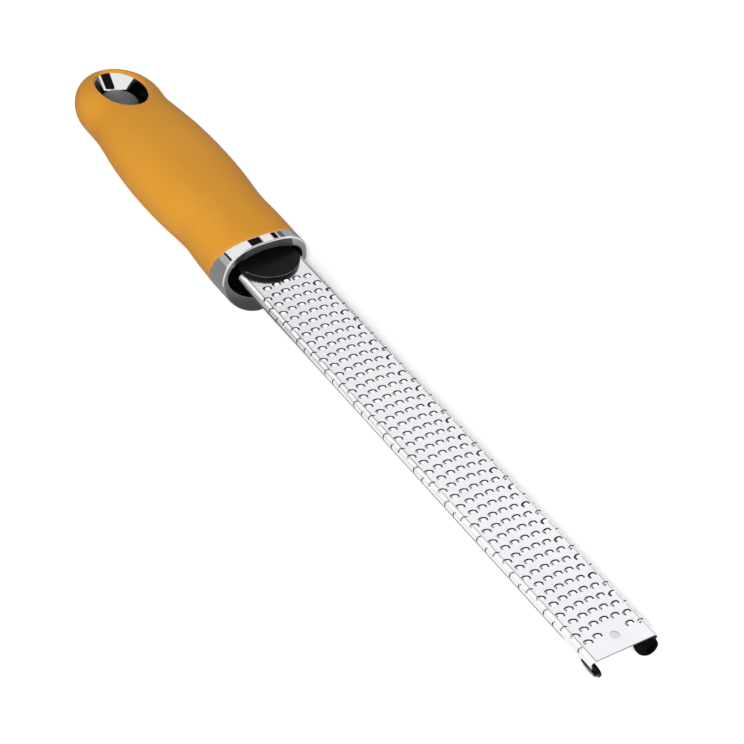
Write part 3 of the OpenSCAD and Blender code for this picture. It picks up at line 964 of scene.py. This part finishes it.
def wedge_mask(tree):
    """The painted dark wedge that stands for a reflection, measured in degrees round the hole, and only on
    the sloping wall.
    """
    hole_x, _, throat_z = at_tool(HOLE_X, 0, THROAT_Z)
    place_x, place_y, place_z = object_place(tree)
    _, _, facing_z = true_facing(tree)
    ahead = add_sum(tree, "SUBTRACT", place_x, hole_x)
    turn = add_sum(tree, "DEGREES", add_sum(tree, "ARCTAN2", place_y, ahead))
    lean = (WEDGE_AT_THROAT - WEDGE_AT_MOUTH) / ((MOUTH_Z - THROAT_Z) * MM)
    leaned = add_sum(tree, "ADD", turn, add_product(tree, add_sum(tree, "SUBTRACT", place_z, throat_z), lean))
    ramps = ((leaned, WEDGE_END), (turn, WEDGE_START), (facing_z, WALL_FACING))
    return add_product(tree, *[add_ramp(tree, value, *span) for value, span in ramps])


def funnel_plating():
    """Mirror plating with a dark wedge painted on its far side, a painted reflection."""
    material, tree, shader, grain = new_finish("funnel_plating", **PLATING_GRAIN)
    add_roughness(tree, shader, grain, 0.02, 0.05)
    shader.inputs["Metallic"].default_value = 1
    # Painted reflection: the dark wedge is painted into the plating's colour.
    colour = add_mix(tree, wedge_mask(tree), MIRROR_TONE, WEDGE_PAINTED_REFLECTION)
    tree.links.new(dark_in_plating(tree, colour), shader.inputs["Base Color"])
    return material


FUNNEL = funnel_plating()
print("finish", FUNNEL.name)

# %% [markdown]
# The hanging eyelet
#
# A straight funnel runs from an oval mouth down to a rounder throat, then a tube goes through the
# head. Straight walls matter: they give the long, clean wedges of light and dark that plating
# shows. Narrow pairs of rings at each edge keep those edges crisp without being knife sharp. The
# rings go up the inside, over the rim and down the outside, and the last one joins the first.

# %% Eyelet piece
BORE_RINGS = 6
RIM = 0.3
RIM_DROP = 0.08
RIM_TOP = 0.2
RIM_SOFT = 0.06
TUBE_EDGE = 0.1
TUBE_LIP = 0.08
IN_BORE = (0, 0.03, 0.5, 0.95)
IN_THROAT = (0.1, 0.5, 0.9)
IN_FUNNEL = (0.06, 0.1, 0.4, 0.7, 0.96, 1)


def between(a, b, u):
    """A ring at a share of the way from one ring to another."""
    return [tuple(p + (q - p) * u for p, q in zip(m, n)) for m, n in zip(a, b)]


def eyelet_rings():
    """From the tube's lower end up the inside, over the rim and down the outside."""
    levels = [
        oval(BORE_R, BORE_R, TUBE_END, 0),
        oval(BORE_R, BORE_R, BORE_Z, 0),
        oval(*THROAT, THROAT_Z, THROAT_SLOPE),
        mouth_oval(-RIM, -RIM_DROP),
    ]
    rings = []
    for low, high, shares in zip(levels, levels[1:], (IN_BORE, IN_THROAT, IN_FUNNEL)):
        rings += [between(low, high, u) for u in shares]
    rings += [mouth_oval(-RIM_TOP, 0), mouth_oval(-RIM_SOFT, 0), mouth_oval(0, -RIM_SOFT)]
    outer = BORE_R + EYELET_WALL
    rings.append(oval(*[half + EYELET_WALL for half in THROAT], THROAT_Z, THROAT_SLOPE))
    for radius, z in (
        (outer, BORE_Z),
        (outer, TUBE_END + TUBE_EDGE),
        (outer - TUBE_EDGE, TUBE_END),
        (BORE_R + TUBE_LIP, TUBE_END),
    ):
        rings.append(oval(radius, radius, z, 0))
    return rings


eyelet = add_loft("bright_eyelet", eyelet_rings(), [FUNNEL, BORE_GREY], "bright_trim", close_loop=True)
for face in eyelet.data.polygons:
    face.material_index = 1 if face.index // EYE_POINTS < BORE_RINGS else 0
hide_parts("hanging_eyelet")
print("eyelet faces", len(eyelet.data.polygons))

# %% [markdown]
# The collar's outlines
#
# The collar is a short plated tube with the pick-shaped outline, cut on a slant behind. Its mouth
# has its own outline: a smaller pick with a notch at the top, where the black core comes forward.
# Both outlines are read along the same rays from one point, so that ring points pair up.

# %% Collar outlines
MOUTH_HALF = COLLAR_HALF - 1.9
MOUTH_MID = COLLAR_MID - 1.2
MOUTH_UP = COLLAR_RISE + MOUTH_MID - COLLAR_MID - 3.7
MOUTH_DOWN = COLLAR_FALL + COLLAR_MID - MOUTH_MID - 6.6
MOUTH_POWER = 2.4
BROW_HALF = 10.4
BROW_SIDE = 2.9
BROW_WALL = 0.7
NOTCH_TAPER = 1.2
NOTCH_TOP = COLLAR_TOP - BROW_WALL
RAY_Z = -MOUTH_MID
FAR_OUT = 60.0
HALVINGS = 40


def pick_radius(turn, half_w, rise, fall, mid, n_up, n_down):
    """How far a ray from the ray point runs before it leaves a pick outline."""
    c, s = math.cos(turn), math.sin(turn)
    low, high = 0.0, FAR_OUT
    for _ in range(HALVINGS):
        r = (low + high) / 2
        y, z = abs(r * c), r * s + RAY_Z + mid
        height, n = (rise, n_up) if z > 0 else (fall, n_down)
        inside = (y / half_w) ** n + (abs(z) / height) ** n < 1
        low, high = (r, high) if inside else (low, r)
    return low


# %% Outline of the collar and its mouth


def outer_radius(turn, inset, inset_below=None):
    """The same ray in the collar's outside, drawn in by an inset all round or less below."""
    fall = COLLAR_FALL - (inset if inset_below is None else inset_below)
    half_w, rise = COLLAR_HALF - inset, COLLAR_RISE - inset
    return pick_radius(turn, half_w, rise, fall, COLLAR_MID, PICK_UP, PICK_DOWN)


def notch_radius(turn):
    """The same ray in the notch, whose sides draw in towards its top."""
    c, s = abs(math.cos(turn)), math.sin(turn)
    if s <= 0:
        return 0
    lean = NOTCH_TAPER / (NOTCH_TOP - BROW_SIDE)
    side = (BROW_HALF + lean * (BROW_SIDE - RAY_Z)) / (c + lean * s)
    wall = outer_radius(turn, BROW_WALL, inset_below=0)
    return min(side, wall, (NOTCH_TOP - RAY_Z) / s)


def mouth_radius(turn):
    """The same ray in the mouth: the smaller pick or the notch, whichever is wider there."""
    plain = pick_radius(turn, MOUTH_HALF, MOUTH_UP, MOUTH_DOWN, MOUTH_MID, MOUTH_POWER, PICK_DOWN)
    return max(plain, notch_radius(turn))


print(f"mouth {2 * MOUTH_HALF:.1f} mm wide, notch up to {NOTCH_TOP:.1f} mm above the blade")

# %% [markdown]
# The collar's rings
#
# The rings start at the slanted back, run over the outside, round the front edge in small steps,
# cross the satin ring and turn down into the mouth. The mouth's corners are eased a little, and the
# faces from the front edge onwards get the satin.

# %% Collar rays
COLLAR_POINTS = 288
SMOOTHED = 3


def ray_ring(radii, x, slant=0.0):
    """A ring of points at the given distances along the rays."""
    ring = []
    for turn, r in zip(turns_round(COLLAR_POINTS), radii):
        z = r * math.sin(turn) + RAY_Z
        ring.append((x + slant * z, r * math.cos(turn), z))
    return ring


def outer_radii(inset):
    """The collar's outside along all the rays, drawn in by an inset."""
    return [outer_radius(turn, inset) for turn in turns_round(COLLAR_POINTS)]


def smooth_mouth():
    """The mouth along all the rays, with its corners eased."""
    radii = [mouth_radius(turn) for turn in turns_round(COLLAR_POINTS)]
    for _ in range(SMOOTHED):
        after = radii[1:] + radii[:1]
        radii = [(radii[i - 1] + 2 * radii[i] + after[i]) / 4 for i in range(COLLAR_POINTS)]
    return radii


print("rays", COLLAR_POINTS)

# %% Collar piece
EDGE = 0.5
EDGE_STEPS = 5
INNER_EDGE = 0.25
INNER_STEPS = 3
LEAST_RING = 0.05
BACK_EDGE_AHEAD = 0.02
BACK_EDGE_INSET = 0.08
ALONG_COLLAR = (0.02, 0.06, 0.5, 0.94, 0.98)
INTO_MOUTH = 4


def quarter_turn(steps, start=0):
    """Sine and cosine at equal steps of a quarter circle, to round an edge."""
    angles = [math.radians(90 * step / steps) for step in range(start, steps + 1)]
    return [(math.sin(a), math.cos(a)) for a in angles]


def collar_rings():
    """All rings in order, and the number of the one where the satin starts."""
    back = ray_ring(outer_radii(0), BACK_X, BACK_SLANT)
    front = ray_ring(outer_radii(0), COLLAR_X - EDGE)
    rings = [ray_ring(outer_radii(BACK_EDGE_INSET), BACK_X + BACK_EDGE_AHEAD, BACK_SLANT)]
    rings += [between(back, front, u) for u in ALONG_COLLAR] + [front]
    for s, c in quarter_turn(EDGE_STEPS, start=1):
        rings.append(ray_ring(outer_radii(EDGE * (1 - c)), COLLAR_X - EDGE * (1 - s)))
    satin_from = len(rings) - 1
    mouth = smooth_mouth()
    limits = outer_radii(EDGE + LEAST_RING)
    for s, c in quarter_turn(INNER_STEPS):
        radii = [min(r + INNER_EDGE * (1 - s), limit) for r, limit in zip(mouth, limits)]
        rings.append(ray_ring(radii, COLLAR_X - INNER_EDGE * (1 - c)))
    rings.append([(x - INTO_MOUTH, y, z) for x, y, z in rings[-1]])
    return rings, satin_from


rings, satin_from = collar_rings()
collar = add_loft("bright_collar", rings, [MIRROR, SATIN], "bright_trim", close_ends=False)
for face in collar.data.polygons:
    face.material_index = 1 if face.index // COLLAR_POINTS >= satin_from else 0
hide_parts("collar")
print("collar rings", len(rings), "satin from", satin_from)

# %% [markdown]
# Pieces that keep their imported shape
#
# The core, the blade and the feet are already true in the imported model, down to each tooth. A copy
# joins the corner points that the file format keeps apart. Where the real piece has moulded edges,
# a narrow bevel rounds them.

# %% Refined copies
SAME_POINT = 1e-6
FLAT_WITHIN = 0.3
BEVEL_STEPS = 3
BEVEL_FROM = 30
SHARP_FROM = 35
CORE_BEVEL = 0.2
FOOT_BEVEL = 0.25


def joined_copy(node, name, material, merge_flat):
    """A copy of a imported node's mesh with its shared corners joined."""
    work = bmesh.new()
    work.from_mesh(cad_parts[node].data)
    bmesh.ops.remove_doubles(work, verts=work.verts, dist=SAME_POINT)
    if merge_flat:
        flat = math.radians(FLAT_WITHIN)
        bmesh.ops.dissolve_limit(work, angle_limit=flat, verts=work.verts, edges=work.edges)
    mesh = bpy.data.meshes.new(name)
    work.to_mesh(mesh)
    work.free()
    mesh.materials.clear()
    mesh.materials.append(material)
    return mesh


def refined_copy(node, name, material, bevel_mm=0.0):
    """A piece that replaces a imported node, with its sharp edges rounded where a bevel is given."""
    piece = bpy.data.objects.new(name, joined_copy(node, name, material, bevel_mm > 0))
    bpy.context.scene.collection.objects.link(piece)
    if bevel_mm:
        bevel = piece.modifiers.new("moulded_edges", "BEVEL")
        bevel.width = bevel_mm * MM
        bevel.segments = BEVEL_STEPS
        bevel.limit_method = "ANGLE"
        bevel.angle_limit = math.radians(BEVEL_FROM)
        bake(piece)
    piece.data.shade_smooth()
    piece.data.set_sharp_from_angle(angle=math.radians(SHARP_FROM))
    on_body(piece)
    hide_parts(node)
    return piece


core = refined_copy("handle_core", "black_core", CORE_BLACK, CORE_BEVEL)
blade = refined_copy("blade", "etched_blade", STEEL)
for side in ("left", "right"):
    foot = refined_copy(f"foot_{side}", f"tip_foot_{side}", FOOT_BLACK, FOOT_BEVEL)
print("core", len(core.data.polygons), "blade", len(blade.data.polygons), "foot", len(foot.data.polygons))

# %% [markdown]
# Smooth along the bends only
#
# The blade's two bends are made of long narrow strips, and they are shaded smoothly across. The
# flat face is not, because each lifted tooth would pull a smear of light across it.

# %% Blade shading
STEP_DEG = 20
ONE_PLANE_DEG = 0.5
FLAT_UP = 0.9999
LENGTHWISE = 0.99
NO_ANGLE = 4


def is_along_bend(edge):
    """True for an edge that runs along the blade between two strips of a bend."""
    start, end = (vert.co.x for vert in edge.verts)
    lengthwise = abs(start - end) > LENGTHWISE * edge.calc_length()
    return lengthwise and not any(abs(face.normal.z) > FLAT_UP for face in edge.link_faces)


def smooth_along_bends(mesh):
    """Smooths the edges along the bends and inside flat faces, and counts them."""
    work = bmesh.new()
    work.from_mesh(mesh)
    kept = 0
    for edge in work.edges:
        edge.smooth = False
        angle = edge.calc_face_angle(NO_ANGLE)
        if len(edge.link_faces) != 2 or angle > math.radians(STEP_DEG):
            continue
        if angle < math.radians(ONE_PLANE_DEG) or is_along_bend(edge):
            edge.smooth = True
            kept += 1
    work.to_mesh(mesh)
    work.free()
    return kept


print("smooth edges on the blade", smooth_along_bends(blade.data))

# %% [markdown]
# Tapered slots
#
# Acid eats sideways as well as down, so a slot is a little wider at the top than at the bottom. The
# top corner points of the slot walls are moved back into the sheet, and the walls get a dull finish
# with painted dark shade.

# %% Slot taper
TAPER = 0.18 * MM
IN_FACE = 0.004
BEND_MARGIN = 0.3
TIP_MARGIN = 0.5
WALL_MIDDLE = 0.12
WALL_UPRIGHT = 0.1


def is_open_corner(place):
    """True for a point in the flat face, clear of the bends and of the tip's edge."""
    in_face = abs(place.z - FACE_Z) <= IN_FACE * MM
    between_bends = abs(place.y) <= (CREASE_Y - BEND_MARGIN) * MM
    return in_face and between_bends and place.x <= TIP_X - TIP_MARGIN * MM


def is_slot_wall(face):
    """True for an upright face whose middle is below the blade's face."""
    dark_when_mirrored = face.calc_center_median().z < FACE_Z - WALL_MIDDLE * MM
    return dark_when_mirrored and abs(face.normal.z) < WALL_UPRIGHT


def taper_slots(mesh):
    """Moves the upper corners of the upright walls in the flat face away from the opening."""
    work = bmesh.new()
    work.from_mesh(mesh)
    work.normal_update()
    moves = {}
    corners = [vert for vert in work.verts if is_open_corner(vert.co)]
    for vert in corners:
        walls = [face for face in vert.link_faces if is_slot_wall(face)]
        if walls:
            back = -sum((face.normal for face in walls), Vector()).normalized()
            moves[vert] = TAPER * back
    for vert, move in moves.items():
        vert.co += move
    work.to_mesh(mesh)
    work.free()
    return len(moves)


print("corners moved", taper_slots(blade.data))

# %% Slot walls
STEEL_STARTS = 2
TIP_STRIP = 0.3
ACROSS_FACE = 0.6
ACROSS_BEND = 0.3


def mark_walls(mesh, etched_and_shaded, cut):
    """Gives the dull finish with painted dark shade to the faces that stand across the sheet, and a grey one
    to its tip.
    """
    marked = 0
    for face in mesh.polygons:
        x, y, _ = face.center
        if x < FRONT_X + STEEL_STARTS * MM:
            continue
        at_tip = x > TIP_X - TIP_STRIP * MM
        on_flat = abs(y) < CREASE_Y * MM and abs(face.normal.z) < ACROSS_FACE
        on_bend = abs(face.normal.x) > ACROSS_BEND and x < TIP_X - TIP_STRIP * MM
        if on_flat or on_bend:
            face.material_index = cut if at_tip else etched_and_shaded
            marked += 1
    return marked


blade.data.materials.append(ETCHED_WALL_SHADE)
blade.data.materials.append(CUT_EDGE)
print("walls marked", mark_walls(blade.data, etched_and_shaded=1, cut=2))

# %% [markdown]
# The core's face
#
# The brow above the mouth is a shade lighter than the tongue, the depth of the mouth is painted
# in full shade, and a thin painted highlight follows the tongue's rounded edge. Where a face lies,
# in millimetres from the collar's front and from the blade's face, decides its finish.

# %% Core faces
CORE_FINISHES = [BROW_GREY, TONGUE_PAINTED_HIGHLIGHT, MOUTH_PAINTED_SHADE]
BROW_BACK, BROW_LOW, BROW_FACING = -0.6, 2.6, 0.3
TONGUE_BACK, TONGUE_LOW, TONGUE_EDGE = 1.5, 1.2, (0.2, 0.97)
DEPTH_FRONT, DEPTH_TOP, DEPTH_BACK = 0.5, 0.6, -2


def core_finish(place, facing):
    """0 for the plain black, 1 for the brow, 2 for the painted highlight on the tongue's edge, 3 for the
    painted shade in the mouth's depth.
    """
    x, _, z = place
    on_brow = x > FRONT_X + BROW_BACK * MM and z > FACE_Z + BROW_LOW * MM
    if on_brow and facing.x > BROW_FACING:
        return 1
    on_tongue = x > FRONT_X + TONGUE_BACK * MM and z > FACE_Z + TONGUE_LOW * MM
    if on_tongue and TONGUE_EDGE[0] < facing.z < TONGUE_EDGE[1]:
        return 2
    low_or_deep = z < FACE_Z + DEPTH_TOP * MM or x < FRONT_X + DEPTH_BACK * MM
    return 3 if x < FRONT_X + DEPTH_FRONT * MM and low_or_deep else 0


for material in CORE_FINISHES:
    core.data.materials.append(material)
painted = [0] * (len(CORE_FINISHES) + 1)
# Faces deep in the mouth get painted shade, and faces along the tongue's edge get a painted highlight.
for face in core.data.polygons:
    face.material_index = core_finish(face.center, face.normal)
    painted[face.material_index] += 1
print("plain, brow, edge and depth faces", painted)
